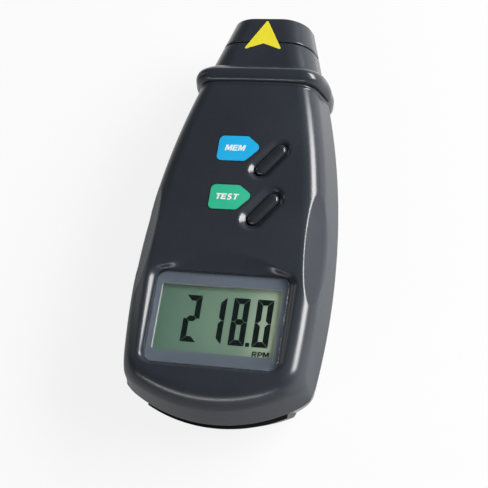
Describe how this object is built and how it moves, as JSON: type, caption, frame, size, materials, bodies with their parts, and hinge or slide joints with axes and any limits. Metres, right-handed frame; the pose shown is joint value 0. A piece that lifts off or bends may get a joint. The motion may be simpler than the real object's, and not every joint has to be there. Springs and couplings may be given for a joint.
{
  "type": "laser tachometer",
  "caption": "Charcoal hand-held laser tachometer with a grey-green display, two slanted keys, a collared nose and a sliding battery door",
  "frame": {"origin": "middle of the housing's box at the flat of its back", "axes": "+X to the right of the face, +Y towards the nose with the optics, +Z out of the face"},
  "size_m": [0.076, 0.16, 0.0377],
  "materials": {
    "housing_plastic": "charcoal ABS with a fine satin texture",
    "key_plastic": "near-black satin ABS",
    "clear_plastic": "clear acrylic with a grey printed border",
    "window_plastic": "polished dark red filter plastic",
    "display_glass": "grey-green reflective display glass",
    "white_plastic": "white moulded plastic",
    "contact_rubber": "pink layered contact rubber",
    "board_laminate": "green solder mask on glass laminate",
    "black_plastic": "black moulded plastic",
    "bright_metal": "plated steel",
    "capacitor_sleeve": "dark blue shrink sleeve",
    "brass_metal": "turned brass",
    "lens_glass": "polished optical glass",
    "lead_red": "red wire insulation",
    "lead_blue": "blue wire insulation",
    "battery_can": "plain grey painted steel jacket"
  },
  "bodies": {
    "case": {"front_shell": "housing_plastic", "rear_shell": "housing_plastic", "nose_cap": "housing_plastic", "sensor_window": "window_plastic", "display_lens": "clear_plastic", "lcd_panel": "display_glass", "lcd_holder": "white_plastic", "contact_strip_upper": "contact_rubber", "contact_strip_lower": "contact_rubber", "circuit_board": "board_laminate", "mem_switch": "black_plastic", "test_switch": "black_plastic", "controller_chip": "black_plastic", "crystal_can": "bright_metal", "electrolytic_capacitor": "capacitor_sleeve", "chip_resistors": "black_plastic", "optics_bracket": "black_plastic", "laser_module": "brass_metal", "receiver_lens": "lens_glass", "photo_sensor": "black_plastic", "laser_lead": "lead_red", "sensor_lead": "lead_blue", "battery": "battery_can", "battery_snap": "black_plastic", "battery_lead_red": "lead_red", "battery_lead_black": "black_plastic", "case_screws": "bright_metal", "board_screws": "bright_metal"},
    "mem_key": {"mem_key": "key_plastic", "mem_plunger": "white_plastic"},
    "test_key": {"test_key": "key_plastic", "test_plunger": "white_plastic"},
    "battery_door": {"battery_door": "key_plastic"}
  },
  "joints": [
    {"name": "mem_press", "type": "slide", "parent": "case", "child": "mem_key", "axis": [0, 0, -1], "range_m": [0, 0.0005], "stiffness_N_per_m": 1500},
    {"name": "test_press", "type": "slide", "parent": "case", "child": "test_key", "axis": [0, 0, -1], "range_m": [0, 0.0005], "stiffness_N_per_m": 1500},
    {"name": "door_slide", "type": "slide", "parent": "case", "child": "battery_door", "axis": [0, -1, 0], "range_m": [0, 0.055]}
  ]
}
